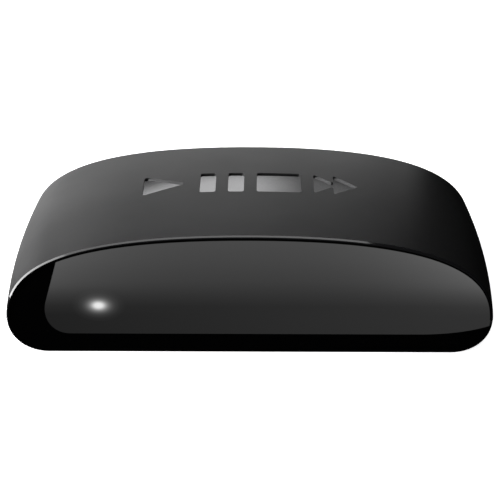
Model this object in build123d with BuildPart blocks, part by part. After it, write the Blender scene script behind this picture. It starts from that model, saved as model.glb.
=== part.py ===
from build123d import *
import os

# Streaming media player: a palm-sized box that feeds a television over HDMI.
# An arched matte cover snaps down over a gloss tray at the casing's widest line, the waist.
# A gloss D-shaped window closes the front, and a panel with the ports closes the rear.
# Inside, one circuit board stands on six bosses in the tray, with a shielded system chip
# under a folded aluminium heat spreader.
#
# Frame: +X to the right seen from the front, +Y to the rear, +Z up. The origin is the centre
# of the flat base. All sizes are in millimetres.

# ---------------------------------------------------------------- casing sizes
width = 84.4  # across the front at the waist
depth = 38.0
height = 23.0  # crown of the arch at the front
waist = 6.7  # height of the widest line above the base
corner_run = 7.2  # how far each rounded lower corner reaches in from the side
arch_across = 0.75  # how far the arch stays flat: 0.55 is an ellipse, 1 a square corner
arch_down = 0.63  # how far the arch's sides stay upright, on the same scale
quarter_round = 0.59  # fullness of that corner: 0.5523 is an ellipse quarter
side_bow = 0.9  # bulge of each side at mid-depth
rear_narrowing = 0.05  # each side, from front to rear
rear_rise = 0.15  # the crown stands this much higher at the rear
wall = 1.5
base_cut = 0.02  # the base is cut flat this far above the rounded corners' lowest line
parting_gap = 0.1  # between the cover's lower edge and the tray
rim_top = 0.52  # thickness of the cover's rim round the window, at the crown
rim_side = 0.28  # and at the waist
rim_reach = 0.3  # the rim stands this far ahead of the window, and behind the panel
rim_chamfer = 0.25
seat_gap_top, seat_gap_side = 0.3, 0.06  # round the window and the panel, inside the rim
edge_round = 0.5  # lower outer edges of the window and the panel
arch_edge_round = 0.25  # their upper outer edges
window_thickness = 2.0
tape_thickness = 0.2
tape_width = 1.0
panel_thickness = 1.8

# ---------------------------------------------------------------- sunk marks on the cover
mark_size = 8.0  # each mark fits a square of this side
mark_pitch = 10.3
mark_row_y = 2.8
mark_depth = 0.3
mark_corner = 0.5
pause_bar = 2.9
forward_overlap = 0.9  # how far the two forward arrows run into each other

# ---------------------------------------------------------------- cover and tray details
tongue_clear = 0.15  # between the tray's tongues and the cover's walls
tongue_thickness = 0.9
tongue_height = 2.2
tongue_root = 1.2
tongue_end_gap = 2.0
snap_y = 9.0  # snaps stand this far in front of and behind the middle
snap_length = 6.0
snap_reach = 0.55
snap_height = 0.8
snap_lift = 0.8  # from the waist to the snap's underside
snap_clear = 0.15  # below the snaps and at their ends; their tops bear on the tongues
rib_x = 14.0
rib_thickness = 0.9
rib_drop = 1.0
end_wall = 0.8
boss_height = 2.7
boss_radius = 2.4
pilot_radius = 0.8
pilot_depth = 3.2
label_length, label_width, label_thickness = 44.0, 20.0, 0.12
label_recess, label_gap, label_corner = 0.2, 0.2, 1.5

# ---------------------------------------------------------------- board and what it carries
board_width = 78.0
board_thickness = 1.2
board_corner = 3.0
board_gap = 0.3  # from the board to the window's end wall and to the rear panel
board_hole_radius = 1.1
board_hole_x = 34.5
board_hole_in = 4.0  # from the board's front and rear edges
screw_shank_radius = 0.8
screw_thread_length = 5.2
screw_head_radius, screw_head_height = 1.75, 1.1
drive_slot_length, drive_slot_width, drive_slot_depth = 2.0, 0.45, 0.6

shield_x, shield_y = 0.0, -3.4
shield_length, shield_width, shield_height = 26.0, 14.0, 2.0
shield_sheet = 0.2
shield_skirt = 1.2
shield_clear = 0.05
chip_x = -5.6
chip_side, chip_height = 12.0, 1.2
memory_x = 6.9
memory_length, memory_width, memory_height = 9.0, 11.0, 1.0
pad_length, pad_width, pad_thickness = 20.0, 12.0, 0.8
spreader_length, spreader_width, spreader_sheet = 52.0, 15.0, 0.8
foot_length, foot_width = 5.0, 8.0

led_x, led_z = -26.1, 9.35
led_length, led_width, led_height = 1.6, 0.8, 0.6
led_clear = 0.2  # round the emitter, inside the pipe's foot
pipe_diameter = 2.2
pipe_foot_width = 3.2
collar_diameter, collar_thickness, collar_clear = 5.0, 1.5, 0.05
pipe_setback = 0.1  # from the window's inner face
pipe_run = 4.0
receiver_x = -11.0
receiver_width, receiver_depth, receiver_height = 5.2, 2.6, 4.6
receiver_lens_radius = 1.5
receiver_setback = 1.6

port_reach = 0.1  # how far the port mouths stand out of the rear panel
port_clear = 0.25
hdmi_x = 16.0
hdmi_mouth_width, hdmi_mouth_height = 14.0, 4.55
hdmi_straight = 2.7  # height of the mouth's upright sides
hdmi_foot_width = 10.4
hdmi_length = 11.2
hdmi_sheet = 0.35
hdmi_tongue_width, hdmi_tongue_thickness = 11.4, 1.2
hdmi_tongue_setback = 1.6
hdmi_block = 2.6
hdmi_pin_width, hdmi_pin_thickness = 0.3, 0.12
hdmi_pin_pitch = 1.0
hdmi_upper_pins, hdmi_lower_pins = 10, 9
tab_width, tab_drop, tab_slot_clear = 1.6, 1.7, 0.3
usb_x = -5.0
usb_mouth_width, usb_mouth_height = 6.9, 1.85
usb_straight = 1.05
usb_foot_width = 5.4
usb_length = 5.6
usb_sheet = 0.3
usb_tongue_width, usb_tongue_thickness = 3.9, 0.55
usb_tongue_setback = 0.9
usb_block = 1.5
usb_pin_width, usb_pin_thickness, usb_pin_pitch, usb_pins = 0.35, 0.08, 0.65, 5

button_x = -24.0
button_lift = 2.6  # from the board's top to the button's axis
button_radius = 1.5
button_clear = 0.1
button_proud = 0.3
button_dish_radius, button_dish_depth = 4.0, 0.25
button_flange_radius, button_flange_thickness = 2.1, 0.6
button_stub_radius, button_stub_length = 1.0, 0.8
flange_gap = 0.1
press_travel = 0.3
switch_width, switch_height, switch_depth = 6.0, 4.3, 3.2
switch_cover_sheet = 0.25
plunger_radius, plunger_out, plunger_in = 0.9, 1.0, 1.2
plunger_clear = 0.06
cavity_room = 0.2  # left behind a fully pressed plunger

antenna_height, antenna_length, antenna_sheet = 4.0, 12.0, 0.3
antenna_arm = 1.6
antenna_edge_gap = 1.0

far = 200.0  # longer than the object, for cuts that run right through

# ---------------------------------------------------------------- places that follow from the sizes
front_y, rear_y = -depth / 2, depth / 2
window_front = front_y + rim_reach
window_back = window_front + window_thickness
shoulder_front = window_back + tape_thickness
panel_outer = rear_y - rim_reach
panel_inner = panel_outer - panel_thickness
board_front = shoulder_front + end_wall + board_gap
board_rear = panel_inner - board_gap
board_middle_y = (board_front + board_rear) / 2
board_bottom = wall + boss_height
board_top = board_bottom + board_thickness
boss_top = board_bottom
spreader_bottom = board_top + shield_height + shield_sheet + pad_thickness
spreader_hole_x = spreader_length / 2 + foot_length / 2
corner_holes = [
    (x, y)
    for x in (-board_hole_x, board_hole_x)
    for y in (board_front + board_hole_in, board_rear - board_hole_in)
]
foot_holes = [(x, shield_y) for x in (-spreader_hole_x, spreader_hole_x)]
mouth_y = panel_outer + port_reach
hdmi_z = board_top + hdmi_sheet + hdmi_mouth_height / 2
usb_z = board_top + usb_sheet + usb_mouth_height / 2
hdmi_rear = mouth_y - hdmi_length
usb_rear = mouth_y - usb_length
button_z = board_top + button_lift
button_face = panel_outer + button_proud
flange_rear = panel_inner - flange_gap
flange_front = flange_rear - button_flange_thickness
stub_end = flange_front - button_stub_length
switch_face = stub_end - plunger_out

os.makedirs("parts", exist_ok=True)
finished = {}


def finish(piece, name):
    """Labels a finished piece and writes it to its own file."""
    piece.part.label = name
    export_step(piece.part, f"parts/{name}.step")
    finished[name] = piece.part


# ---------------------------------------------------------------- the casing's shape
def station(y):
    """Upright plane across the casing at depth y, with local x to the right and y up."""
    return Plane(origin=(0, y, 0), x_dir=(1, 0, 0), z_dir=(0, -1, 0))


def half_width(y):
    """Half the casing's width at the waist, at depth y."""
    along = (y - front_y) / depth
    return width / 2 - rear_narrowing * along + side_bow * 4 * along * (1 - along)


def crown(y):
    """Height of the arch at the middle, at depth y."""
    return height + rear_rise * (y - front_y) / depth


def outline(y, side_inset, top_inset, base_inset):
    """The casing's outline at depth y, drawn in from its outside by the insets."""
    half = half_width(y) - side_inset
    top = crown(y) - top_inset
    corner_x = half_width(y) - corner_run
    with BuildSketch(station(y)) as section:
        with BuildLine():
            Bezier(
                (0, top),
                (arch_across * half, top),
                (half, waist + arch_down * (top - waist)),
                (half, waist),
            )
            Bezier(
                (half, waist),
                (half, waist - quarter_round * (waist - base_inset)),
                (corner_x + quarter_round * (half - corner_x), base_inset),
                (corner_x, base_inset),
            )
            mirror(about=Plane.YZ)
            Line((-corner_x, base_inset), (corner_x, base_inset))
        make_face()
    return section.sketch


def casing_form(side_inset=0.0, top_inset=0.0, base_inset=0.0, overrun=0.0):
    """The casing's whole solid shape, drawn in from its outside by the insets given."""
    front, rear = front_y - overrun, rear_y + overrun
    sections = [
        outline(y, side_inset, top_inset, base_inset)
        for y in (front, (front + rear) / 2, rear)
    ]
    with BuildPart() as form:
        loft(sections)
    return form.part


def bevel_waste(end, inward):
    """What the rim's 45-degree bevel takes off, at the end given."""
    sections = []
    for step in (-rim_chamfer, 4 * rim_chamfer):
        inset = rim_chamfer - step
        sections.append(outline(end + inward * step, inset, inset, inset))
    with BuildPart() as taper:
        loft(sections, ruled=True)
    with BuildPart() as waste:
        with Locations((0, end + inward * rim_chamfer, 0)):
            Box(far, 3 * rim_chamfer, far)
        add(taper.part, mode=Mode.SUBTRACT)
    return waste.part


def portion(form, front=-far, rear=far, low=0.0, high=far):
    """What a form holds between two depths and two heights, cut flat at the base."""
    with BuildPart() as piece:
        add(form)
        with BuildSketch(Plane.XY.offset(low)):
            with Locations((0, (front + rear) / 2)):
                Rectangle(2 * far, rear - front)
        extrude(amount=high - low, mode=Mode.INTERSECT)
    return piece.part


outer_form = casing_form(base_inset=-base_cut)
inner_form = casing_form(wall, wall, wall, overrun=1)
rim_form = casing_form(rim_side, rim_top, 0, overrun=1)
seat_form = casing_form(rim_side + seat_gap_side, rim_top + seat_gap_top)
mark_floor_form = casing_form(mark_depth, mark_depth, mark_depth, overrun=1)


# ---------------------------------------------------------------- sunk marks
# Four plain transport signs in a row: play, pause, stop and forward, reading from the front.
def mark_place(number):
    """Centre of one of the four marks in the row."""
    return ((number - 1.5) * mark_pitch, mark_row_y)


def arrow(length):
    """An arrowhead of the marks' height that points to the right."""
    Polygon(
        (-length / 2, -mark_size / 2),
        (length / 2, 0),
        (-length / 2, mark_size / 2),
        align=None,
    )


with BuildPart() as mark_cutter:
    with BuildSketch() as play_sign:
        with Locations(mark_place(0)):
            arrow(mark_size)
        fillet(play_sign.vertices(), mark_corner)
    with BuildSketch() as pause_sign:
        with Locations(mark_place(1)):
            with GridLocations(mark_size - pause_bar, 0, 2, 1):
                RectangleRounded(pause_bar, mark_size, mark_corner)
    with BuildSketch() as stop_sign:
        with Locations(mark_place(2)):
            RectangleRounded(mark_size, mark_size, mark_corner)
    with BuildSketch() as forward_sign:
        arrow_length = (mark_size + forward_overlap) / 2
        with Locations(mark_place(3)):
            with GridLocations(mark_size - arrow_length, 0, 2, 1):
                arrow(arrow_length)
        fillet(forward_sign.vertices(), mark_corner / 2)
    extrude(amount=height + far)
    add(mark_floor_form, mode=Mode.SUBTRACT)

# ---------------------------------------------------------------- ribs under the cover's crown
rib_outer = casing_form(wall / 2, wall / 2, wall / 2)
rib_inner = casing_form(wall + rib_drop, wall + rib_drop, wall + rib_drop, overrun=1)
with BuildPart() as cover_ribs:
    with Locations((-rib_x, 0, height / 2), (rib_x, 0, height / 2)):
        Box(rib_thickness, depth, height * 2)
    add(portion(rib_outer, shoulder_front, panel_inner, height / 2), mode=Mode.INTERSECT)
    add(rib_inner, mode=Mode.SUBTRACT)

# ---------------------------------------------------------------- top cover
snap_places = [(side, y) for side in (-1, 1) for y in (-snap_y, snap_y)]

with BuildPart() as top_cover:
    add(portion(outer_form, low=waist + parting_gap))
    add(bevel_waste(front_y, 1), mode=Mode.SUBTRACT)
    add(bevel_waste(rear_y, -1), mode=Mode.SUBTRACT)
    add(inner_form, mode=Mode.SUBTRACT)
    add(portion(rim_form, rear=shoulder_front), mode=Mode.SUBTRACT)
    add(portion(rim_form, front=panel_inner), mode=Mode.SUBTRACT)
    add(mark_cutter.part, mode=Mode.SUBTRACT)
    add(cover_ribs.part)
    for side, y in snap_places:
        inner_face = half_width(y) - wall
        with Locations((side * (inner_face - snap_reach), y, waist + snap_lift)):
            Box(
                snap_reach + wall / 2,
                snap_length,
                snap_height,
                align=(Align.MIN if side > 0 else Align.MAX, Align.CENTER, Align.MIN),
            )
finish(top_cover, "top_cover")

# ---------------------------------------------------------------- bottom tray
tongue_inset = wall + tongue_clear
tongue_outer = casing_form(tongue_inset, tongue_inset, tongue_inset)
tongue_root_outer = casing_form(wall / 2, wall / 2, wall / 2)
tongue_inner_inset = tongue_inset + tongue_thickness
tongue_inner = casing_form(
    tongue_inner_inset, tongue_inner_inset, tongue_inner_inset, overrun=1
)
tongue_front, tongue_rear = shoulder_front + tongue_end_gap, panel_inner - tongue_end_gap

with BuildPart() as bottom_tray:
    add(portion(outer_form, shoulder_front, panel_inner, high=waist))
    add(inner_form, mode=Mode.SUBTRACT)
    add(portion(tongue_root_outer, tongue_front, tongue_rear, waist - tongue_root, waist))
    add(portion(tongue_outer, tongue_front, tongue_rear, waist, waist + tongue_height))
    add(portion(tongue_inner, low=waist - tongue_root), mode=Mode.SUBTRACT)
    add(portion(outer_form, shoulder_front, shoulder_front + end_wall, high=board_bottom))
    for side, y in snap_places:
        with Locations((side * half_width(y), y, waist + snap_lift - snap_clear)):
            Box(
                2 * tongue_inner_inset + wall,
                snap_length + 2 * snap_clear,
                snap_height + snap_clear,
                align=(Align.CENTER, Align.CENTER, Align.MIN),
                mode=Mode.SUBTRACT,
            )
    with Locations(*[(x, y, wall / 2) for x, y in corner_holes + foot_holes]):
        Cylinder(
            boss_radius,
            boss_top - wall / 2,
            align=(Align.CENTER, Align.CENTER, Align.MIN),
        )
    with Locations(*[(x, y, boss_top) for x, y in corner_holes + foot_holes]):
        Hole(pilot_radius, depth=pilot_depth)
    with BuildSketch():
        RectangleRounded(
            label_length + label_gap, label_width + label_gap, label_corner
        )
    extrude(amount=label_recess, mode=Mode.SUBTRACT)
finish(bottom_tray, "bottom_tray")

with BuildPart() as bottom_label:
    with BuildSketch(Plane.XY.offset(label_recess - label_thickness)):
        RectangleRounded(label_length, label_width, label_corner)
    extrude(amount=label_thickness)
finish(bottom_label, "bottom_label")


# ---------------------------------------------------------------- front window and rear panel
def end_plate(front, rear, outer_face):
    """A casing end: inside the rim above the waist, out to the full shape below it.

    Its outer edges are rounded, largely below the waist and lightly round the arch."""
    halves = []
    for form, radius, low, high in (
        (seat_form, arch_edge_round, waist, far),
        (outer_form, edge_round, 0, waist),
    ):
        with BuildPart() as rounded:
            add(portion(form, front, rear, low=-far))
            fillet(rounded.faces().sort_by(Axis.Y)[outer_face].edges(), radius)
        halves.append(portion(rounded.part, low=low, high=high))
    with BuildPart() as plate:
        add(halves)
    return plate.part


with BuildPart() as front_window:
    add(end_plate(window_front, window_back, 0))
finish(front_window, "front_window")

tape_outer = casing_form(rim_side + seat_gap_side, rim_top + seat_gap_top, rim_top)
tape_inset = rim_side + seat_gap_side + tape_width
tape_top_inset = rim_top + seat_gap_top + tape_width
tape_inner = casing_form(tape_inset, tape_top_inset, rim_top + tape_width, 1)
with BuildPart() as window_tape:
    add(portion(tape_outer, window_back, shoulder_front))
    add(tape_inner, mode=Mode.SUBTRACT)
finish(window_tape, "window_tape")


# ---------------------------------------------------------------- port mouth outlines
def mouth_outline(mouth_width, mouth_height, straight, foot_width, grow=0.0):
    """A port's opening: upright sides that slope in to a narrower foot, grown all round."""
    half, foot = mouth_width / 2 + grow, foot_width / 2 + grow
    top, low = mouth_height / 2 + grow, -mouth_height / 2 - grow
    knee = mouth_height / 2 - straight
    Polygon(
        (-foot, low), (foot, low), (half, knee), (half, top), (-half, top), (-half, knee),
        align=None,
    )  # fmt: skip


hdmi_mouth = (hdmi_mouth_width, hdmi_mouth_height, hdmi_straight, hdmi_foot_width)
usb_mouth = (usb_mouth_width, usb_mouth_height, usb_straight, usb_foot_width)


def rear_station(y, x, z):
    """Upright plane at depth y, centred on (x, z), that faces the rear."""
    return Plane(origin=(x, y, z), x_dir=(-1, 0, 0), z_dir=(0, 1, 0))


with BuildPart() as rear_panel:
    add(end_plate(panel_inner, panel_outer, -1))
    with BuildSketch(rear_station(panel_inner, hdmi_x, hdmi_z)):
        mouth_outline(*hdmi_mouth, grow=hdmi_sheet + port_clear)
    with BuildSketch(rear_station(panel_inner, usb_x, usb_z)):
        mouth_outline(*usb_mouth, grow=usb_sheet + port_clear)
    with BuildSketch(rear_station(panel_inner, button_x, button_z)):
        Circle(button_radius + button_clear)
    extrude(amount=panel_thickness, mode=Mode.SUBTRACT)
finish(rear_panel, "rear_panel")

# ---------------------------------------------------------------- circuit board
hdmi_tab_places = [
    (hdmi_x + side * (hdmi_mouth_width / 2 + hdmi_sheet / 2), y)
    for side in (-1, 1)
    for y in (hdmi_rear + 2.0, board_rear - 2.0)
]

with BuildPart() as main_board:
    with BuildSketch(Plane.XY.offset(board_bottom)):
        with Locations((0, board_middle_y)):
            RectangleRounded(board_width, board_rear - board_front, board_corner)
    extrude(amount=board_thickness)
    with Locations(*[(x, y, board_top) for x, y in corner_holes + foot_holes]):
        Hole(board_hole_radius, depth=board_thickness)
    with BuildSketch(Plane.XY.offset(board_bottom)):
        with Locations(*hdmi_tab_places):
            Rectangle(hdmi_sheet + tab_slot_clear, tab_width + tab_slot_clear)
    extrude(amount=board_thickness, mode=Mode.SUBTRACT)
finish(main_board, "main_board")


def screws(places, head_seat):
    """Pan-head screws with a cross slot, standing on a seat at the height given."""
    slot_places = [(x, y, head_seat + screw_head_height) for x, y in places]
    with BuildPart() as group:
        with Locations(*[(x, y, head_seat) for x, y in places]):
            Cylinder(
                screw_head_radius,
                screw_head_height,
                align=(Align.CENTER, Align.CENTER, Align.MIN),
            )
            Cylinder(
                screw_shank_radius - 0.02,
                screw_thread_length - 2 * board_thickness + board_top - head_seat,
                align=(Align.CENTER, Align.CENTER, Align.MAX),
            )
        crowns = group.edges().filter_by(GeomType.CIRCLE).group_by(Axis.Z)[-1]
        fillet(crowns, screw_head_height / 3)
        for length, breadth in (
            (drive_slot_length, drive_slot_width),
            (drive_slot_width, drive_slot_length),
        ):
            with Locations(*slot_places):
                Box(
                    length,
                    breadth,
                    drive_slot_depth,
                    align=(Align.CENTER, Align.CENTER, Align.MAX),
                    mode=Mode.SUBTRACT,
                )
    return group


finish(screws(corner_holes, board_top), "board_screws")
finish(screws(foot_holes, board_top + spreader_sheet), "spreader_screws")


# ---------------------------------------------------------------- chips and small parts
def chips(places, length, breadth, tall, bevel=0.1, base=None):
    """Flat-topped blocks with a light bevel, standing on the board unless told otherwise."""
    seat = board_top if base is None else base
    with BuildPart() as group:
        with Locations(*[(x, y, seat) for x, y in places]):
            Box(length, breadth, tall, align=(Align.CENTER, Align.CENTER, Align.MIN))
        if bevel:
            tops = group.faces().filter_by(Axis.Z).group_by(Axis.Z)[-1]
            chamfer(tops.edges(), length=bevel)
    return group


shield_left = shield_x - shield_length / 2
power_x = board_width / 2 - 9.5
finish(chips([(shield_x + chip_x, shield_y)], chip_side, chip_side, chip_height), "system_chip")
finish(
    chips([(shield_x + memory_x, shield_y)], memory_length, memory_width, memory_height),
    "memory_chip",
)
finish(chips([(-15.0, 8.6)], 6.0, 6.0, 0.85), "wireless_chip")
finish(chips([(2.6, 8.6)], 7.5, 6.0, 1.0), "flash_chip")
finish(chips([(power_x, 6.4)], 4.0, 4.0, 0.9), "power_chip")
finish(
    chips([(power_x + 5.2, y) for y in (1.2, 6.4)], 4.2, 4.2, 2.0, bevel=0.4),
    "power_inductors",
)
finish(
    chips([(power_x + dx, 11.6) for dx in (-2.0, 0.4)], 1.6, 3.2, 1.6, bevel=0.15),
    "bulk_capacitors",
)
ceramic_places = [(-12.0 + 2.2 * column, 4.5) for column in range(11)]
ceramic_places += [(shield_left - 6.0 - 2.0 * column, y) for column in range(2) for y in (1.0, 3.0)]
finish(chips(ceramic_places, 1.0, 0.6, 0.55, bevel=0.08), "ceramic_capacitors")
finish(chips([(shield_left - 3.4, -8.0)], 3.2, 2.5, 0.8), "clock_crystal")

# ---------------------------------------------------------------- shield, pads and heat spreader
with BuildPart() as shield_frame:
    with BuildSketch(Plane.XY.offset(board_top)):
        with Locations((shield_x, shield_y)):
            Rectangle(shield_length, shield_width)
            Rectangle(
                shield_length - 2 * shield_sheet,
                shield_width - 2 * shield_sheet,
                mode=Mode.SUBTRACT,
            )
    extrude(amount=shield_height)
finish(shield_frame, "shield_frame")

lid_grow = 2 * (shield_clear + shield_sheet)
with BuildPart() as shield_lid:
    with BuildSketch(Plane.XY.offset(board_top + shield_height - shield_skirt)):
        with Locations((shield_x, shield_y)):
            Rectangle(shield_length + lid_grow, shield_width + lid_grow)
    extrude(amount=shield_skirt + shield_sheet)
    with BuildSketch(Plane.XY.offset(board_top + shield_height - shield_skirt)):
        with Locations((shield_x, shield_y)):
            Rectangle(shield_length + 2 * shield_clear, shield_width + 2 * shield_clear)
    extrude(amount=shield_skirt, mode=Mode.SUBTRACT)
    lid_top = shield_lid.faces().sort_by(Axis.Z)[-1]
    fillet(lid_top.edges(), shield_sheet * 0.8)
finish(shield_lid, "shield_lid")

finish(
    chips(
        [(shield_x + chip_x, shield_y)],
        chip_side - 1,
        chip_side - 1,
        shield_height - chip_height,
        bevel=0,
        base=board_top + chip_height,
    ),
    "chip_pad",
)
finish(
    chips(
        [(shield_x, shield_y)],
        pad_length,
        pad_width,
        pad_thickness,
        bevel=0,
        base=board_top + shield_height + shield_sheet,
    ),
    "spreader_pad",
)

with BuildPart() as heat_spreader:
    leg_height = spreader_bottom + spreader_sheet - board_top
    with Locations((shield_x, shield_y, spreader_bottom)):
        Box(
            spreader_length,
            spreader_width,
            spreader_sheet,
            align=(Align.CENTER, Align.CENTER, Align.MIN),
        )
    for side in (-1, 1):
        leg_side = Align.MAX if side > 0 else Align.MIN
        foot_side = Align.MIN if side > 0 else Align.MAX
        with Locations((shield_x + side * spreader_length / 2, shield_y, board_top)):
            Box(
                spreader_sheet,
                foot_width,
                leg_height,
                align=(leg_side, Align.CENTER, Align.MIN),
            )
            Box(
                foot_length,
                foot_width,
                spreader_sheet,
                align=(foot_side, Align.CENTER, Align.MIN),
            )
    with Locations(*[(x, y, board_top + spreader_sheet) for x, y in foot_holes]):
        Hole(board_hole_radius, depth=spreader_sheet)
finish(heat_spreader, "heat_spreader")


# ---------------------------------------------------------------- antennas
def antenna_strip(side):
    """A stamped inverted-F antenna: a long arm held over the board's end by two legs."""
    outer_x = side * (board_width / 2 - antenna_edge_gap)
    along = Align.MAX if side > 0 else Align.MIN
    leg_places = [(outer_x, y, board_top) for y in (-antenna_length / 2, -antenna_length / 5)]
    with BuildPart() as strip:
        with Locations((outer_x, -antenna_length / 2, board_top + antenna_height - antenna_arm)):
            Box(
                antenna_sheet,
                antenna_length,
                antenna_arm,
                align=(along, Align.MIN, Align.MIN),
            )
        with Locations(*leg_places):
            Box(
                antenna_sheet,
                antenna_arm,
                antenna_height,
                align=(along, Align.MIN, Align.MIN),
            )
    return strip


finish(antenna_strip(-1), "antenna_left")
finish(antenna_strip(1), "antenna_right")

# ---------------------------------------------------------------- status light and receiver
led_y = window_back + pipe_setback + pipe_run
finish(chips([(led_x, led_y)], led_length, led_width, led_height, bevel=0), "status_led")

with BuildPart() as light_pipe:
    with Locations((led_x, led_y, board_top)):
        Box(
            pipe_foot_width,
            pipe_diameter,
            led_z + pipe_diameter / 2 - board_top,
            align=(Align.CENTER, Align.CENTER, Align.MIN),
        )
        Box(
            led_length + 2 * led_clear,
            led_width + 2 * led_clear,
            led_height + led_clear,
            align=(Align.CENTER, Align.CENTER, Align.MIN),
            mode=Mode.SUBTRACT,
        )
    mirror_edge = light_pipe.edges().filter_by(Axis.X).group_by(Axis.Z)[-1].sort_by(Axis.Y)[-1]
    chamfer(mirror_edge, length=pipe_diameter * 0.9)
    with BuildSketch(Plane(origin=(led_x, led_y, led_z), x_dir=(1, 0, 0), z_dir=(0, -1, 0))):
        Circle(pipe_diameter / 2)
    extrude(amount=pipe_run)
finish(light_pipe, "light_pipe")

with BuildPart() as light_collar:
    with BuildSketch(Plane(origin=(led_x, window_back, led_z), x_dir=(1, 0, 0), z_dir=(0, 1, 0))):
        Circle(collar_diameter / 2)
        Circle(pipe_diameter / 2 + collar_clear, mode=Mode.SUBTRACT)
    extrude(amount=collar_thickness)
finish(light_collar, "light_collar")

with BuildPart() as infrared_receiver:
    receiver_front = window_back + receiver_setback
    with Locations((receiver_x, receiver_front, board_top)):
        Box(
            receiver_width,
            receiver_depth,
            receiver_height,
            align=(Align.CENTER, Align.MIN, Align.MIN),
        )
    lens_z = board_top + receiver_height / 2
    with Locations((receiver_x, receiver_front, lens_z)):
        Sphere(receiver_lens_radius * 0.9)
    fillet(infrared_receiver.edges().filter_by(Axis.Z), 0.3)
finish(infrared_receiver, "infrared_receiver")


# ---------------------------------------------------------------- ports
def sleeve(mouth, x, z, back, length, sheet):
    """A port's folded steel sleeve: the mouth's outline grown by the sheet, less the mouth."""
    with BuildPart() as shell:
        with BuildSketch(rear_station(back, x, z)):
            mouth_outline(*mouth, grow=sheet)
        extrude(amount=length)
        with BuildSketch(rear_station(back, x, z)):
            mouth_outline(*mouth)
        extrude(amount=length, mode=Mode.SUBTRACT)
    return shell.part


with BuildPart() as hdmi_shell:
    add(sleeve(hdmi_mouth, hdmi_x, hdmi_z, hdmi_rear, hdmi_length, hdmi_sheet))
    with Locations(*[(x, y, hdmi_z) for x, y in hdmi_tab_places]):
        Box(
            hdmi_sheet,
            tab_width,
            hdmi_z - board_top + tab_drop,
            align=(Align.CENTER, Align.CENTER, Align.MAX),
        )
finish(hdmi_shell, "hdmi_shell")


def port_insert(mouth, x, z, back, block, tongue_width, tongue_thickness, tongue_end):
    """A port's moulded insert: a block that fills the sleeve's back and carries a tongue."""
    with BuildPart() as insert:
        with BuildSketch(rear_station(back, x, z)):
            mouth_outline(*mouth)
        extrude(amount=block)
        with Locations((x, back, z)):
            Box(
                tongue_width,
                tongue_end - back,
                tongue_thickness,
                align=(Align.CENTER, Align.MIN, Align.CENTER),
            )
    return insert


def port_pins(x, z, back, end, count, pitch, pin_width, pin_thickness, above):
    """A row of contact strips on a tongue's upper or lower face."""
    side = Align.MIN if above else Align.MAX
    with Locations((x, back, z)):
        with GridLocations(pitch, 0, count, 1):
            Box(pin_width, end - back, pin_thickness, align=(Align.CENTER, Align.MIN, side))


hdmi_tongue_end = mouth_y - hdmi_tongue_setback
finish(
    port_insert(
        hdmi_mouth,
        hdmi_x,
        hdmi_z,
        hdmi_rear,
        hdmi_block,
        hdmi_tongue_width,
        hdmi_tongue_thickness,
        hdmi_tongue_end,
    ),
    "hdmi_tongue",
)
hdmi_pin_span = (hdmi_rear + hdmi_block, hdmi_tongue_end - 0.5)
with BuildPart() as hdmi_contacts:
    for count, above in ((hdmi_upper_pins, True), (hdmi_lower_pins, False)):
        face_z = hdmi_z + (hdmi_tongue_thickness / 2) * (1 if above else -1)
        port_pins(
            hdmi_x,
            face_z,
            *hdmi_pin_span,
            count,
            hdmi_pin_pitch,
            hdmi_pin_width,
            hdmi_pin_thickness,
            above,
        )
finish(hdmi_contacts, "hdmi_contacts")

with BuildPart() as usb_shell:
    add(sleeve(usb_mouth, usb_x, usb_z, usb_rear, usb_length, usb_sheet))
finish(usb_shell, "usb_shell")
usb_tongue_end = mouth_y - usb_tongue_setback
finish(
    port_insert(
        usb_mouth,
        usb_x,
        usb_z,
        usb_rear,
        usb_block,
        usb_tongue_width,
        usb_tongue_thickness,
        usb_tongue_end,
    ),
    "usb_tongue",
)
with BuildPart() as usb_contacts:
    port_pins(
        usb_x,
        usb_z - usb_tongue_thickness / 2,
        usb_rear + usb_block,
        usb_tongue_end - 0.3,
        usb_pins,
        usb_pin_pitch,
        usb_pin_width,
        usb_pin_thickness,
        False,
    )
finish(usb_contacts, "usb_contacts")

# ---------------------------------------------------------------- reset button and its switch
# The button slides forwards through the rear panel. Its stub pushes the switch's plunger.
with BuildPart() as reset_button:
    with BuildSketch(rear_station(flange_front, button_x, button_z)):
        Circle(button_radius)
    extrude(amount=button_face - flange_front)
    with BuildSketch(rear_station(flange_front, button_x, button_z)):
        Circle(button_flange_radius)
    extrude(amount=button_flange_thickness)
    with BuildSketch(rear_station(flange_front, button_x, button_z)):
        Circle(button_stub_radius)
    extrude(amount=-button_stub_length)
    dish_centre = button_face + button_dish_radius - button_dish_depth
    with Locations((button_x, dish_centre, button_z)):
        Sphere(button_dish_radius, mode=Mode.SUBTRACT)
finish(reset_button, "reset_button")

plunger_end = switch_face - plunger_in
with BuildPart() as reset_plunger:
    with BuildSketch(rear_station(plunger_end, button_x, button_z)):
        Circle(plunger_radius)
    extrude(amount=stub_end - plunger_end)
finish(reset_plunger, "reset_plunger")

with BuildPart() as switch_base:
    with Locations((button_x, switch_face - switch_cover_sheet, board_top)):
        Box(
            switch_width,
            switch_depth - switch_cover_sheet,
            switch_height,
            align=(Align.CENTER, Align.MAX, Align.MIN),
        )
    with BuildSketch(rear_station(switch_face, button_x, button_z)):
        Circle(plunger_radius + plunger_clear)
    extrude(amount=-(plunger_in + press_travel + cavity_room), mode=Mode.SUBTRACT)
finish(switch_base, "switch_base")

with BuildPart() as switch_cover:
    with BuildSketch(rear_station(switch_face - switch_cover_sheet, button_x, board_top)):
        Rectangle(switch_width, switch_height, align=(Align.CENTER, Align.MIN))
        with Locations((0, button_lift)):
            Circle(plunger_radius + plunger_clear, mode=Mode.SUBTRACT)
    extrude(amount=switch_cover_sheet)
finish(switch_cover, "switch_cover")

everything = Compound(children=list(finished.values())).bounding_box()
print("pieces", len(finished), "size", everything.size)
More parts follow.
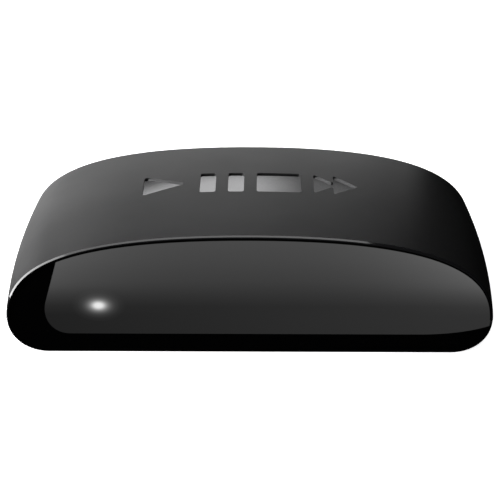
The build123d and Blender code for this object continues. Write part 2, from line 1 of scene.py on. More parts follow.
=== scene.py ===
import math

import bmesh
import bpy
from mathutils import Matrix, Vector


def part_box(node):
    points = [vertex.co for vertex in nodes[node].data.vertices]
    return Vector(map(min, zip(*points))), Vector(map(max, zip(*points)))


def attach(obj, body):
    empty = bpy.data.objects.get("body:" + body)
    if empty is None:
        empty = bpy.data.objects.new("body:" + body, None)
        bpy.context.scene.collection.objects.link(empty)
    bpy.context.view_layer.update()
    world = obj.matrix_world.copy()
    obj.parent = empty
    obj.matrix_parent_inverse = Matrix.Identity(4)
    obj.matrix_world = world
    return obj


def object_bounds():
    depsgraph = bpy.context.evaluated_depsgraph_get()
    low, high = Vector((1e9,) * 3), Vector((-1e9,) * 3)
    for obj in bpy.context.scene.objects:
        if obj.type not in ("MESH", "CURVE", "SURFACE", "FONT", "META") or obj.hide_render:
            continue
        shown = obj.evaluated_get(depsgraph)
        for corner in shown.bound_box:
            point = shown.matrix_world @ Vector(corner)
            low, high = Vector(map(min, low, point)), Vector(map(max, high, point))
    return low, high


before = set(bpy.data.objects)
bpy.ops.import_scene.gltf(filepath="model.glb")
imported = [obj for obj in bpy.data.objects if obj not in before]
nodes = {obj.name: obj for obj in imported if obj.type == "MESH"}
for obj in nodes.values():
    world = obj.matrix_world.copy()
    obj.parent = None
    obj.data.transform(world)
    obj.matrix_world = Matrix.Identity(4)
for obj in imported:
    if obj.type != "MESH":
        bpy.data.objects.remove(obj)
cad_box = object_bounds()
MM = 0.001

# ---------------------------------------------------------------- camera
# The camera stands in front of the player, level with its middle, and looks down on it.
# It turns a touch to the right and leans by a tenth of a degree.
LOOK_AT = Vector((-0.07, 0, 10.72)) * MM
LOOK_DOWN = math.radians(26.87)
LOOK_ACROSS = math.radians(0.59)
LEAN = math.radians(-0.09)
STAND_OFF = 290.9 * MM

away = Vector(
    (
        math.sin(LOOK_ACROSS) * math.cos(LOOK_DOWN),
        -math.cos(LOOK_ACROSS) * math.cos(LOOK_DOWN),
        math.sin(LOOK_DOWN),
    )
)
level = (-away).cross(Vector((0, 0, 1))).normalized()
upward = level.cross(-away)
right = level * math.cos(LEAN) + upward * math.sin(LEAN)
above = upward * math.cos(LEAN) - level * math.sin(LEAN)
bpy.ops.object.camera_add()
camera = bpy.context.object
camera.name = "front_camera"
camera.matrix_world = Matrix.Translation(LOOK_AT + away * STAND_OFF) @ (
    Matrix((right, above, away)).transposed().to_4x4()
)
camera.data.lens = 114.52
camera.data.sensor_width = 36
camera.data.clip_start = 0.01
bpy.context.scene.camera = camera

# ---------------------------------------------------------------- studio
# A plain white floor and backdrop, softboxes behind, to the left and overhead, and a white
# board lying before the window, which its gloss face mirrors.
bpy.context.scene.view_settings.view_transform = "Standard"


def add_node(tree, kind, inputs=None, **settings):
    """Adds a shader node, sets its settings, and sets or links its inputs."""
    made = tree.nodes.new(kind)
    for setting, value in settings.items():
        setattr(made, setting, value)
    for socket, value in (inputs or {}).items():
        if isinstance(value, bpy.types.NodeSocket):
            tree.links.new(value, made.inputs[socket])
        else:
            made.inputs[socket].default_value = value
    return made


def computed(tree, operation, *values):
    """The result of a Math node on the values given."""
    made = add_node(tree, "ShaderNodeMath", dict(enumerate(values)), operation=operation)
    return made.outputs["Value"]


def remapped(tree, value, from_min, from_max, to_min=0.0, to_max=1.0):
    """A value carried from one range to another, and held inside it."""
    made = add_node(
        tree,
        "ShaderNodeMapRange",
        {
            "Value": value,
            "From Min": from_min,
            "From Max": from_max,
            "To Min": to_min,
            "To Max": to_max,
        },
    )
    return made.outputs["Result"]


def mixed(tree, share, first, second):
    """A number that is the first one where share is 0, and the second where it is 1."""
    made = add_node(
        tree, "ShaderNodeMix", {0: share, 2: first, 3: second}, data_type="FLOAT"
    )
    return made.outputs[0]


def split_place(tree, kind="Object"):
    """Texture coordinates of one kind, as separate X, Y and Z."""
    place = add_node(tree, "ShaderNodeTexCoord")
    split = add_node(tree, "ShaderNodeSeparateXYZ", {"Vector": place.outputs[kind]})
    return split.outputs


def level_ramp(tree, value, stops):
    """A grey that follows a value through the (place, level) pairs given."""
    ramp = add_node(tree, "ShaderNodeValToRGB", {"Fac": value})
    elements = ramp.color_ramp.elements
    for number, (stop, level) in enumerate(stops):
        step = elements[number] if number < 2 else elements.new(stop)
        step.position = stop
        step.color = (level, level, level, 1)
    return ramp.outputs["Color"]


def glowing_material(name, strength, stops=None):
    """An emitter for the studio. stops gives its level at places across it, from 0 to 1."""
    material = bpy.data.materials.new(name)
    material.use_nodes = True
    tree = material.node_tree
    tree.nodes.clear()
    glow = add_node(tree, "ShaderNodeEmission", {"Strength": strength})
    if stops:
        across = computed(tree, "ADD", split_place(tree)["X"], 0.5)
        tree.links.new(level_ramp(tree, across, stops), glow.inputs["Color"])
    add_node(tree, "ShaderNodeOutputMaterial", {"Surface": glow.outputs["Emission"]})
    return material


def studio_card(name, centre, facing, width, height, material):
    """A flat lit card, turned to face the player and hidden from the camera."""
    bpy.ops.mesh.primitive_plane_add(size=1)
    card = bpy.context.object
    card.name = name
    card.scale = (width, height, 1)
    aim = (Vector(facing) - Vector(centre)).to_track_quat("Z", "Y")
    card.rotation_mode = "QUATERNION"
    card.rotation_quaternion = aim
    card.location = centre
    card.data.materials.append(material)
    card.visible_camera = False
    card.visible_shadow = False


bpy.ops.object.select_all(action="DESELECT")
bpy.ops.mesh.primitive_plane_add(size=8, location=(0, 0, -0.02 * MM))
floor = bpy.context.object
floor.name = "floor"
floor_white = bpy.data.materials.new("floor_white")
floor_white.use_nodes = True
floor_shader = floor_white.node_tree.nodes["Principled BSDF"]
floor_shader.inputs["Base Color"].default_value = (0.9, 0.9, 0.9, 1)
floor_shader.inputs["Roughness"].default_value = 0.9
floor_shader.inputs["Specular IOR Level"].default_value = 0
floor_shader.inputs["Emission Color"].default_value = (1, 1, 1, 1)
floor_shader.inputs["Emission Strength"].default_value = 0.97
floor.data.materials.append(floor_white)
floor.visible_glossy = False
floor.visible_diffuse = False

# Each card: its centre and what it faces in millimetres, its width and height, its strength,
# and its levels. The two low boxes stand close behind, so the cover darkens from its rear edge
# to its front. The left one fades toward the front, so the rim's highlight fades up the arch.
STUDIO_CARDS = {
    "rear_softbox": (
        (0, 75, 32),
        (0, 0, 32),
        (100, 30),
        1.78,
        ((0.1, 0.7), (0.3, 0.95), (0.5, 1.0), (0.7, 0.95), (0.9, 0.36)),
    ),
    "mark_strip": ((0, 75, 59), (0, 0, 59), (84, 10), 1.15, ((0.47, 1.0), (0.66, 0.25))),
    "left_low_card": ((-69, 75, -15), (-40, 0, 9.5), (42, 42), 0.89, None),
    "left_high_card": ((-61, 75, 39), (-29, 0, 17.5), (42, 42), 1.15, None),
    "far_low_card": ((-107, 260, -106), (-41, 0, 8), (130, 130), 1.5, None),
    "far_left_card": ((-168, 260, 13), (-36, 0, 13), (130, 130), 1.35, None),
    "overhead_softbox": ((-148, -225, 420), (-148, 0, 20), (564, 160), 3.1, None),
    "left_softbox": (
        (-433, -181, 143),
        (-20, -19, 12),
        (290, 570),
        19.0,
        ((0.06, 0.26), (0.22, 0.32), (0.44, 0.53), (0.6, 0.74), (0.86, 0.89), (0.95, 1.0)),
    ),
}
for name, (centre, facing, size, strength, stops) in STUDIO_CARDS.items():
    glow = glowing_material(name + "_glow", strength, stops)
    studio_card(name, Vector(centre) * MM, Vector(facing) * MM, *(Vector(size) * MM), glow)

# The board in front: a sheet whose near corners are rounded off, bright far from the player
# and towards its sides. Each corner is its place and how far its rounding reaches each way.
BOARD_CORNERS = {
    (-1, 1): (-38.1 * MM, -25.2 * MM, 6 * MM, 12 * MM),
    (1, 1): (48 * MM, -25.2 * MM, 18 * MM, 10 * MM),
    (-1, -1): (-38.1 * MM, -150 * MM, 1 * MM, 1 * MM),
    (1, -1): (48 * MM, -150 * MM, 1 * MM, 1 * MM),
}
BOARD_LIFT = 0.05 * MM
bpy.ops.mesh.primitive_circle_add(vertices=120, radius=1, fill_type="NGON")
front_board = bpy.context.object
front_board.name = "front_board"
bpy.ops.object.mode_set(mode="EDIT")
outline = bmesh.from_edit_mesh(front_board.data)
for corner in outline.verts:
    x_side, y_side = (1 if corner.co.x > 0 else -1), (1 if corner.co.y > 0 else -1)
    x_end, y_end, x_reach, y_reach = BOARD_CORNERS[x_side, y_side]
    corner.co = (
        x_end + (corner.co.x - x_side) * x_reach,
        y_end + (corner.co.y - y_side) * y_reach,
        BOARD_LIFT,
    )
bmesh.update_edit_mesh(front_board.data)
bpy.ops.object.mode_set(mode="OBJECT")

# Its strength is lowest near the middle. It doubles towards its sides, with the cube of the
# distance, except along its near edge, where it only rises a little from left to right.
BOARD_MIDDLE = -2 * MM
MIDDLE_STRENGTH = 2.0
SIDE_RISE = 29000.0
ACROSS_RISE = 18.0
board_glow = bpy.data.materials.new("front_board_glow")
board_glow.use_nodes = True
tree = board_glow.node_tree
tree.nodes.clear()
place = split_place(tree)
board_level = level_ramp(
    tree,
    remapped(tree, place["Y"], -25 * MM, -65 * MM),
    ((0.0, 0.26), (0.26, 0.27), (0.36, 0.37), (0.51, 0.55), (0.72, 0.70), (1.0, 0.85)),
)
from_middle = computed(tree, "ABSOLUTE", computed(tree, "ADD", place["X"], -BOARD_MIDDLE))
to_sides = computed(tree, "MULTIPLY", computed(tree, "POWER", from_middle, 3.0), SIDE_RISE)
to_right = computed(tree, "MULTIPLY", place["X"], ACROSS_RISE)
near_edge = remapped(tree, place["Y"], -43 * MM, -32 * MM)
rise = mixed(tree, near_edge, to_sides, to_right)
glow = add_node(
    tree,
    "ShaderNodeEmission",
    {"Color": board_level, "Strength": computed(tree, "ADD", rise, MIDDLE_STRENGTH)},
)
add_node(tree, "ShaderNodeOutputMaterial", {"Surface": glow.outputs["Emission"]})
front_board.data.materials.append(board_glow)
front_board.visible_camera = False
front_board.visible_diffuse = False
front_board.visible_shadow = False

# The room: white to the eye, nearly dark in what the player mirrors, darkest below.
room = bpy.data.worlds.new("studio_room")
bpy.context.scene.world = room
room.use_nodes = True
tree = room.node_tree
tree.nodes.clear()
seen = add_node(tree, "ShaderNodeLightPath")
white = add_node(tree, "ShaderNodeBackground", {"Color": (1, 1, 1, 1), "Strength": 1.0})
sky = remapped(tree, split_place(tree, "Generated")["Z"], -0.05, 0.3, 0.004, 0.03)
dim = add_node(tree, "ShaderNodeBackground", {"Color": sky})
either = add_node(
    tree,
    "ShaderNodeMixShader",
    {
        "Fac": seen.outputs["Is Camera Ray"],
        1: dim.outputs["Background"],
        2: white.outputs["Background"],
    },
)
add_node(tree, "ShaderNodeOutputWorld", {"Surface": either.outputs["Shader"]})


# ---------------------------------------------------------------- top cover
# An arched shell injection-moulded in black ABS, with a fine spark-eroded texture outside.
# It snaps down over the tray's tongues, and its bevelled rim stands round the window.
def new_group(name, inputs, outputs):
    """An empty shader group with the named number inputs and number outputs."""
    tree = bpy.data.node_groups.new(name, "ShaderNodeTree")
    for socket, default in inputs.items():
        made = tree.interface.new_socket(socket, in_out="INPUT", socket_type="NodeSocketFloat")
        made.default_value = default
    for socket in outputs:
        tree.interface.new_socket(socket, in_out="OUTPUT", socket_type="NodeSocketFloat")
    entry = tree.nodes.new("NodeGroupInput")
    leave = tree.nodes.new("NodeGroupOutput")
    return tree, entry.outputs, leave.inputs


def plain_material(name, color, roughness, metallic=0.0, ior=1.5):
    """A material whose unchanging values sit on its shader's own sockets."""
    material = bpy.data.materials.new(name)
    material.use_nodes = True
    shader = material.node_tree.nodes["Principled BSDF"]
    shader.inputs["Base Color"].default_value = (*color, 1)
    shader.inputs["Roughness"].default_value = roughness
    shader.inputs["Metallic"].default_value = metallic
    shader.inputs["IOR"].default_value = ior
    return material, material.node_tree, shader


def placed_group(tree, group, **values):
    """Puts a shader group into a material, with its input values set."""
    made = tree.nodes.new("ShaderNodeGroup")
    made.node_tree = group
    for socket, value in values.items():
        made.inputs[socket.replace("_", " ")].default_value = value
    return made.outputs


def noise(tree, scale, detail, vector=None, distortion=0.0):
    """Fractal noise over the object's own coordinates, or over the vector given."""
    if vector is None:
        vector = add_node(tree, "ShaderNodeTexCoord").outputs["Object"]
    made = add_node(
        tree,
        "ShaderNodeTexNoise",
        {"Vector": vector, "Scale": scale, "Detail": detail, "Distortion": distortion},
    )
    return made.outputs["Fac"]


def bumped(tree, height, distance, strength):
    """The surface's normal, tilted by a height."""
    made = add_node(
        tree,
        "ShaderNodeBump",
        {"Height": height, "Distance": distance, "Strength": strength},
    )
    return made.outputs["Normal"]


def finish_node(name, material):
    """Gives a CAD node its material in its own slot."""
    nodes[name].material_slots[0].material = material


# Moulded grain: the pebbled height of an eroded tool, and the roughness that handling evens out.
moulded_grain, given, taken = new_group(
    "moulded_grain",
    {"Grain Scale": 6000, "Smoothest": 0.4, "Roughest": 0.5},
    ("Height", "Roughness"),
)
pebbles = noise(moulded_grain, given["Grain Scale"], 2.0)
handled = noise(moulded_grain, 45.0, 4.0)
spread = remapped(
    moulded_grain, handled, 0.35, 0.65, given["Smoothest"], given["Roughest"]
)
moulded_grain.links.new(pebbles, taken["Height"])
moulded_grain.links.new(spread, taken["Roughness"])

# The rim's bevel is polished. The narrow edge inside it rolls over, towards the dark gap.
BEVEL_WIDTH = 0.25 * MM
BEVEL_SHARE = 0.97
BEVEL_ROUGHNESS = 0.07
EDGE_WIDTH = 0.002 * MM
EDGE_ROLL = 0.42
cover_low, cover_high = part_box("top_cover")
half_depth = (cover_high.y - cover_low.y) / 2
cover_black, tree, shader = plain_material("cover_textured_abs", (0.006, 0.006, 0.0065), 0.42)
grain = placed_group(
    tree, moulded_grain, Grain_Scale=5200.0, Smoothest=0.38, Roughest=0.43
)
from_middle = computed(tree, "ABSOLUTE", split_place(tree)["Y"])
on_rim = computed(tree, "GREATER_THAN", from_middle, half_depth - BEVEL_SHARE * BEVEL_WIDTH)
on_edge = computed(tree, "GREATER_THAN", from_middle, half_depth - EDGE_WIDTH)
polish = mixed(tree, on_rim, grain["Roughness"], BEVEL_ROUGHNESS)
tree.links.new(polish, shader.inputs["Roughness"])
off_rim = computed(tree, "SUBTRACT", 1.0, on_rim)
pebbled = computed(tree, "MULTIPLY", grain["Height"], off_rim)
upturn = add_node(
    tree, "ShaderNodeCombineXYZ", {"Z": computed(tree, "MULTIPLY", on_edge, EDGE_ROLL)}
)
rolled = add_node(
    tree,
    "ShaderNodeVectorMath",
    {0: bumped(tree, pebbled, 0.012 * MM, 0.5), 1: upturn.outputs["Vector"]},
    operation="ADD",
)
unit = add_node(
    tree, "ShaderNodeVectorMath", {0: rolled.outputs["Vector"]}, operation="NORMALIZE"
)
tree.links.new(unit.outputs["Vector"], shader.inputs["Normal"])
finish_node("top_cover", cover_black)

# ---------------------------------------------------------------- polished floors of the marks
# The four transport signs are sunk in the crown, and the tool is polished where it forms their
# floors. Each floor is taken from the cover's own faces and laid as a thin bright skin.
MARK_FRONT, MARK_REAR, MARK_END = -1.4 * MM, 7.0 * MM, 21 * MM
MARK_MIN_DEPTH = 0.2 * MM
CROWN_DROP = 0.05 * MM
CROWN_FALL = 2.7  # how fast the crown falls away from the middle: metres per square metre
FLAT_ENOUGH = 0.9
SKIN = 0.03 * MM

bpy.ops.object.select_all(action="DESELECT")
nodes["top_cover"].select_set(True)
bpy.context.view_layer.objects.active = nodes["top_cover"]
bpy.ops.object.duplicate()
mark_floors = bpy.context.object
mark_floors.name = "mark_floors"
for note in list(mark_floors.keys()):
    del mark_floors[note]
mark_floors.parent = None
crown_top = cad_box[1][2]
bpy.ops.object.mode_set(mode="EDIT")
bpy.ops.mesh.select_all(action="SELECT")
bpy.ops.mesh.remove_doubles(threshold=0.0005 * MM)
bpy.ops.mesh.select_all(action="DESELECT")
shell = bmesh.from_edit_mesh(mark_floors.data)
for face in shell.faces:
    middle = face.calc_center_median()
    surface = crown_top - CROWN_DROP - CROWN_FALL * middle.x**2
    is_floor = (
        face.normal.z > FLAT_ENOUGH
        and abs(middle.x) < MARK_END
        and MARK_FRONT < middle.y < MARK_REAR
        and middle.z < surface - MARK_MIN_DEPTH
    )
    face.select = not is_floor
bmesh.update_edit_mesh(mark_floors.data)
bpy.ops.mesh.delete(type="FACE")
bpy.ops.mesh.select_all(action="SELECT")
bpy.ops.mesh.extrude_region_move(TRANSFORM_OT_translate={"value": (0, 0, SKIN)})
bpy.ops.mesh.select_all(action="SELECT")
bpy.ops.mesh.normals_make_consistent(inside=False)
bpy.ops.transform.translate(value=(0, 0, -0.5 * SKIN))
bpy.ops.mesh.customdata_custom_splitnormals_clear()
bpy.ops.object.mode_set(mode="OBJECT")
bpy.ops.object.shade_smooth_by_angle(angle=math.radians(20))

mark_gloss, tree, shader = plain_material(
    "mark_gunmetal_foil", (0.34, 0.34, 0.345), 0.12, metallic=1.0
)
rubbed = remapped(tree, noise(tree, 220.0, 3.0), 0.0, 1.0, 0.06, 0.14)
tree.links.new(rubbed, shader.inputs["Roughness"])
mark_floors.data.materials.clear()
mark_floors.data.materials.append(mark_gloss)
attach(mark_floors, "casing")


# ---------------------------------------------------------------- front window
# A D-shaped plate of smoked acrylic, polished and taped to the tray and the cover's shoulder.
# It is black to the eye, lets the remote's infrared through, and has a painted glow at the
# status light.
def tinted(tree, shader, share, first, second):
    """Feeds the base colour: the first colour where share is 0, the second where it is 1."""
    if not isinstance(first, bpy.types.NodeSocket):
        first = (*first, 1)
    made = add_node(
        tree, "ShaderNodeMix", {0: share, 6: first, 7: (*second, 1)}, data_type="RGBA"
    )
    tree.links.new(made.outputs[2], shader.inputs["Base Color"])


def gloss_material(name, color, cleanest, smudged, dust, dust_color, height, strength):
    """A polished black plastic with smudges, hairline scratches and a little dust."""
    material, tree, shader = plain_material(name, color, cleanest)
    wear = placed_group(tree, gloss_wear, Cleanest=cleanest, Smudged=smudged, Dust=dust)
    tree.links.new(wear["Roughness"], shader.inputs["Roughness"])
    tree.links.new(bumped(tree, wear["Height"], height, strength), shader.inputs["Normal"])
    tinted(tree, shader, wear["Dust"], color, dust_color)
    return material, tree, shader


# Gloss wear: hairline scratches in the height, smudges in the roughness, and specks of dust.
gloss_wear, given, taken = new_group(
    "gloss_wear",
    {"Cleanest": 0.02, "Smudged": 0.06, "Dust": 0.1},
    ("Height", "Roughness", "Dust"),
)
smudges = noise(gloss_wear, 38.0, 5.0, distortion=0.6)
spread = remapped(gloss_wear, smudges, 0.45, 0.75, given["Cleanest"], given["Smudged"])
place = add_node(gloss_wear, "ShaderNodeTexCoord")
stretch = add_node(
    gloss_wear,
    "ShaderNodeMapping",
    {
        "Vector": place.outputs["Object"],
        "Rotation": (0.3, 0.5, 0.2),
        "Scale": (1.0, 12.0, 30.0),
    },
)
hairlines = noise(gloss_wear, 90.0, 2.0, stretch.outputs["Vector"])
specks = add_node(
    gloss_wear,
    "ShaderNodeTexVoronoi",
    {"Vector": place.outputs["Object"], "Scale": 900.0},
)
speck_edge = remapped(
    gloss_wear, specks.outputs["Distance"], 0.10, 0.04, 0.0, given["Dust"]
)
gloss_wear.links.new(hairlines, taken["Height"])
gloss_wear.links.new(spread, taken["Roughness"])
gloss_wear.links.new(speck_edge, taken["Dust"])

window_black, tree, shader = gloss_material(
    "window_smoked_acrylic",
    (0.0006, 0.0006, 0.0007),
    cleanest=0.015,
    smudged=0.035,
    dust=0.02,
    dust_color=(0.3, 0.3, 0.3),
    height=0.0006 * MM,
    strength=0.15,
)

# Painted light: the window is no lamp, and this glow in its emission stands in for the pipe's
# light shining through it.
# Painted glow: a bright heart over the light pipe's end, and a halo wider than it is tall.
# The halo's brightness is given at distances above its centre, in millimetres.
PIPE_RADIUS = 1.1 * MM
HALO_STRETCH = 1.48
HALO = (
    (0.0, 0.84),
    (0.4, 0.76),
    (0.6, 0.58),
    (0.8, 0.37),
    (1.0, 0.22),
    (1.2, 0.135),
    (1.4, 0.085),
    (1.6, 0.052),
    (1.8, 0.033),
    (2.0, 0.020),
    (2.5, 0.006),
    (3.2, 0.0),
)
halo_reach = HALO[-1][0]
pipe_low, pipe_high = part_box("light_pipe")
glow_centre = Vector(((pipe_low.x + pipe_high.x) / 2, 0, pipe_high.z - PIPE_RADIUS))
place = add_node(tree, "ShaderNodeTexCoord")
shifted = add_node(
    tree,
    "ShaderNodeVectorMath",
    {0: place.outputs["Object"], 1: glow_centre},
    operation="SUBTRACT",
)
flattened = add_node(
    tree,
    "ShaderNodeVectorMath",
    {0: shifted.outputs["Vector"], 1: (1 / HALO_STRETCH, 0, 1)},
    operation="MULTIPLY",
)
radius = add_node(
    tree, "ShaderNodeVectorMath", {0: flattened.outputs["Vector"]}, operation="LENGTH"
)
painted_glow_level = level_ramp(
    tree,
    remapped(tree, radius.outputs["Value"], 0.0, halo_reach * MM),
    [(distance / halo_reach, brightness) for distance, brightness in HALO],
)
tree.links.new(painted_glow_level, shader.inputs["Emission Color"])
# The painted glow's strength: the window itself emits it.
shader.inputs["Emission Strength"].default_value = 1.0
finish_node("front_window", window_black)

# ---------------------------------------------------------------- bottom tray
# The gloss half of the casing, moulded in polished black ABS up to the waist, with the bosses
# and tongues inside. It carries the board and everything on it.
tray_black, tree, shader = gloss_material(
    "tray_polished_abs",
    (0.004, 0.004, 0.0045),
    cleanest=0.03,
    smudged=0.09,
    dust=0.08,
    dust_color=(0.35, 0.34, 0.33),
    height=0.001 * MM,
    strength=0.2,
)
finish_node("bottom_tray", tray_black)


# ---------------------------------------------------------------- rear panel and reset button
# Both are moulded in black ABS. The panel's eroded texture is coarser than the cover's, and the
# button is smoother than either, since fingers and pins rub it.
def moulded_material(name, color, grain_scale, smoothest, roughest, height, strength=0.5):
    """A moulded plastic or resin with its own grain."""
    material, tree, shader = plain_material(name, color, smoothest)
    grain = placed_group(
        tree, moulded_grain, Grain_Scale=grain_scale, Smoothest=smoothest, Roughest=roughest
    )
    tree.links.new(grain["Roughness"], shader.inputs["Roughness"])
    tree.links.new(bumped(tree, grain["Height"], height, strength), shader.inputs["Normal"])
    return material


panel_black = moulded_material(
    "panel_textured_abs", (0.008, 0.008, 0.0085), 4200.0, 0.36, 0.5, 0.02 * MM, strength=0.6
)
finish_node("rear_panel", panel_black)
button_black = moulded_material(
    "button_abs", (0.02, 0.02, 0.021), 5200.0, 0.28, 0.42, 0.01 * MM
)
finish_node("reset_button", button_black)


# ---------------------------------------------------------------- rating label
# A blank matt polyester film stuck in the tray's recess, printed with a thin border and one
# plain light panel, and no lettering.
def inside_box(tree, place, centre, half_x, half_y, soften):
    """A mask that is 1 inside a rectangle on the XY plane and 0 outside it."""
    from_centre = add_node(
        tree, "ShaderNodeVectorMath", {0: place, 1: centre}, operation="SUBTRACT"
    )
    distance = add_node(
        tree,
        "ShaderNodeVectorMath",
        {0: from_centre.outputs["Vector"]},
        operation="ABSOLUTE",
    )
    split = add_node(tree, "ShaderNodeSeparateXYZ", {"Vector": distance.outputs["Vector"]})
    sides = [
        remapped(tree, split.outputs[axis], half + soften, half - soften)
        for axis, half in (("X", half_x), ("Y", half_y))
    ]
    return computed(tree, "MULTIPLY", *sides)


LABEL_GREY = (0.05, 0.05, 0.052)
PRINT_GREY = (0.42, 0.42, 0.41)
BORDER_INSET, BORDER_WIDTH = 1.2 * MM, 0.25 * MM
PANEL_PLACE, PANEL_HALF_X, PANEL_HALF_Y = Vector((11, -3.5, 0)) * MM, 8 * MM, 3.2 * MM
INK_EDGE = 0.03 * MM
label_low, label_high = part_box("bottom_label")
label_film, tree, shader = plain_material("label_matt_film", LABEL_GREY, 0.5)
place = add_node(tree, "ShaderNodeTexCoord").outputs["Object"]
label_middle = (label_low + label_high) / 2
half = (label_high - label_low) / 2
border_outer, border_inner = (
    inside_box(tree, place, label_middle, half.x - inset, half.y - inset, INK_EDGE)
    for inset in (BORDER_INSET, BORDER_INSET + BORDER_WIDTH)
)
border = computed(tree, "SUBTRACT", border_outer, border_inner)
panel = inside_box(
    tree, place, label_middle + PANEL_PLACE, PANEL_HALF_X, PANEL_HALF_Y, INK_EDGE
)
tinted(tree, shader, computed(tree, "MAXIMUM", border, panel), LABEL_GREY, PRINT_GREY)
fibre = noise(tree, 2600.0, 3.0)
tree.links.new(bumped(tree, fibre, 0.006 * MM, 0.4), shader.inputs["Normal"])
finish_node("bottom_label", label_film)

# ---------------------------------------------------------------- sockets
# Each socket is a sleeve of tinned steel round a moulded tongue, with gold-flashed contacts
# along the tongue, and it is soldered to the board by the sleeve's tabs.
# Drawn metal: fine lines along one axis in the height, and the roughness that varies with them.
drawn_metal, given, taken = new_group(
    "drawn_metal", {"Smoothest": 0.2, "Roughest": 0.35}, ("Height", "Roughness", "Stain")
)
place = add_node(drawn_metal, "ShaderNodeTexCoord")
stretch = add_node(
    drawn_metal,
    "ShaderNodeMapping",
    {"Vector": place.outputs["Object"], "Scale": (40.0, 1.0, 40.0)},
)
lines = noise(drawn_metal, 160.0, 3.0, stretch.outputs["Vector"])
spread = remapped(drawn_metal, lines, 0.3, 0.7, given["Smoothest"], given["Roughest"])
stain = remapped(drawn_metal, noise(drawn_metal, 260.0, 4.0), 0.5, 0.8)
drawn_metal.links.new(lines, taken["Height"])
drawn_metal.links.new(spread, taken["Roughness"])
drawn_metal.links.new(stain, taken["Stain"])


def metal_material(name, bright, dull, smoothest, roughest):
    """A sheet metal with drawn lines and a faint cloudy stain between two colours."""
    material, tree, shader = plain_material(name, bright, smoothest, metallic=1.0)
    drawn = placed_group(tree, drawn_metal, Smoothest=smoothest, Roughest=roughest)
    tree.links.new(drawn["Roughness"], shader.inputs["Roughness"])
    tree.links.new(bumped(tree, drawn["Height"], 0.003 * MM, 0.4), shader.inputs["Normal"])
    tinted(tree, shader, drawn["Stain"], bright, dull)
    return material


socket_steel = metal_material(
    "socket_tinned_steel", (0.62, 0.61, 0.6), (0.45, 0.44, 0.43), 0.18, 0.34
)
contact_gold = metal_material(
    "contact_gold_flash", (0.9, 0.65, 0.28), (0.75, 0.5, 0.2), 0.15, 0.28
)
insert_black = moulded_material(
    "socket_insert_nylon", (0.015, 0.015, 0.016), 3500.0, 0.4, 0.55, 0.01 * MM
)
for socket in ("hdmi", "usb"):
    finish_node(socket + "_shell", socket_steel)
    finish_node(socket + "_tongue", insert_black)
    finish_node(socket + "_contacts", contact_gold)

# ---------------------------------------------------------------- circuit board
# A laminate board under green solder mask. Copper tracks show as paler lines beneath the mask,
# with tinned vias among them. Six screws go through it, two of them the heat spreader's.
board_green, tree, shader = plain_material("board_solder_mask", (0.01, 0.1, 0.05), 0.25)
place = add_node(tree, "ShaderNodeTexCoord")
tracks = add_node(
    tree,
    "ShaderNodeTexBrick",
    {
        "Vector": place.outputs["Object"],
        "Color1": (0.008, 0.085, 0.04, 1),
        "Color2": (0.012, 0.11, 0.055, 1),
        "Mortar": (0.03, 0.19, 0.09, 1),
        "Scale": 320.0,
        "Mortar Size": 0.05,
        "Brick Width": 1.7,
        "Row Height": 0.22,
    },
    offset=0.37,
)
vias = add_node(
    tree, "ShaderNodeTexVoronoi", {"Vector": place.outputs["Object"], "Scale": 420.0}
)
via_edge = remapped(tree, vias.outputs["Distance"], 0.14, 0.09)
tinted(tree, shader, via_edge, tracks.outputs["Color"], (0.6, 0.58, 0.5))
tree.links.new(via_edge, shader.inputs["Metallic"])
tree.links.new(bumped(tree, tracks.outputs["Fac"], 0.02 * MM, 0.4), shader.inputs["Normal"])
finish_node("main_board", board_green)

screw_steel = metal_material(
    "screw_nickel_steel", (0.55, 0.54, 0.52), (0.4, 0.39, 0.37), 0.2, 0.4
)
finish_node("board_screws", screw_steel)
finish_node("spreader_screws", screw_steel)

# ---------------------------------------------------------------- chips and small parts
# The chips are black moulded epoxy, the inductors pressed ferrite, and the capacitors fired
# tan ceramic.
epoxy_black = moulded_material(
    "chip_epoxy", (0.022, 0.022, 0.024), 9000.0, 0.5, 0.62, 0.02 * MM
)
for chip in ("system_chip", "memory_chip", "flash_chip", "wireless_chip", "power_chip"):
    finish_node(chip, epoxy_black)
finish_node(
    "power_inductors",
    moulded_material("inductor_ferrite", (0.07, 0.07, 0.075), 4000.0, 0.55, 0.7, 0.03 * MM),
)

ceramic, tree, shader = plain_material("capacitor_ceramic", (0.42, 0.28, 0.15), 0.4)
fired = noise(tree, 1500.0, 3.0)
tinted(tree, shader, fired, (0.36, 0.23, 0.12), (0.5, 0.36, 0.2))
tree.links.new(bumped(tree, fired, 0.01 * MM, 0.5), shader.inputs["Normal"])
finish_node("bulk_capacitors", ceramic)
finish_node("ceramic_capacitors", ceramic)

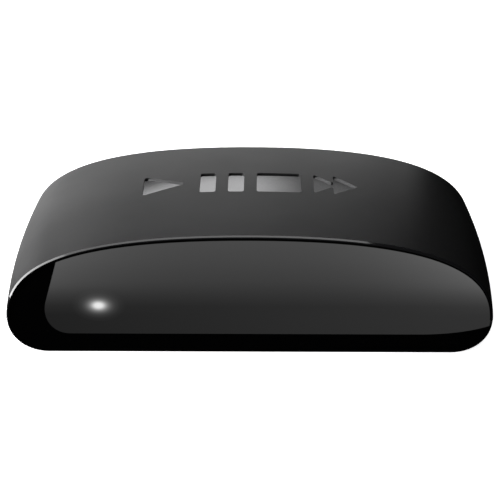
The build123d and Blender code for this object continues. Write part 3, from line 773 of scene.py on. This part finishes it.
# ---------------------------------------------------------------- shield, pads and heat spreader
# The shield frame and lid are tinned steel, like the crystal's can, the antennas and the
# switch's cover. Soft silicone pads carry heat from the chip to the lid and from the lid to
# the spreader, a folded sheet of mill-finish aluminium.
shield_steel = metal_material(
    "shield_tinned_steel", (0.64, 0.63, 0.61), (0.5, 0.49, 0.47), 0.22, 0.42
)
for stamped in (
    "shield_frame",
    "shield_lid",
    "clock_crystal",
    "antenna_left",
    "antenna_right",
    "switch_cover",
):
    finish_node(stamped, shield_steel)
finish_node(
    "heat_spreader",
    metal_material("spreader_aluminium", (0.78, 0.78, 0.79), (0.66, 0.66, 0.68), 0.26, 0.45),
)
pad_silicone = moulded_material(
    "pad_silicone", (0.22, 0.34, 0.46), 1800.0, 0.7, 0.85, 0.03 * MM
)
finish_node("chip_pad", pad_silicone)
finish_node("spreader_pad", pad_silicone)

# ---------------------------------------------------------------- status light and receiver
# The light is a white chip emitter under an L-shaped pipe of clear acrylic, in a black foam
# collar that keeps its glow off the receiver, which is moulded in infrared-passing resin.
emitter, tree, shader = plain_material("emitter_resin", (0.85, 0.83, 0.7), 0.3)
tinted(tree, shader, noise(tree, 5000.0, 2.0), (0.9, 0.88, 0.8), (0.85, 0.75, 0.35))
shader.inputs["Emission Color"].default_value = (1, 0.98, 0.95, 1)
shader.inputs["Emission Strength"].default_value = 0.6
finish_node("status_led", emitter)

pipe_acrylic, tree, shader = plain_material(
    "pipe_clear_acrylic", (0.95, 0.96, 0.97), 0.08, ior=1.49
)
shader.inputs["Transmission Weight"].default_value = 1.0
wear = placed_group(tree, gloss_wear, Cleanest=0.04, Smudged=0.14, Dust=0.0)
tree.links.new(wear["Roughness"], shader.inputs["Roughness"])
finish_node("light_pipe", pipe_acrylic)

foam_black = moulded_material(
    "foam_black", (0.012, 0.012, 0.012), 2200.0, 0.85, 0.95, 0.08 * MM
)
finish_node("light_collar", foam_black)
finish_node("window_tape", foam_black)
finish_node(
    "infrared_receiver",
    moulded_material("receiver_resin", (0.01, 0.007, 0.012), 3000.0, 0.12, 0.22, 0.004 * MM),
)

# ---------------------------------------------------------------- reset switch
# A right-angle tact switch: a nylon base with a steel cover, and a cream plunger that the
# button's stub rests on. The plunger rides with the button.
finish_node("switch_base", insert_black)
finish_node(
    "reset_plunger",
    moulded_material("plunger_nylon", (0.5, 0.47, 0.4), 3500.0, 0.35, 0.5, 0.01 * MM),
)
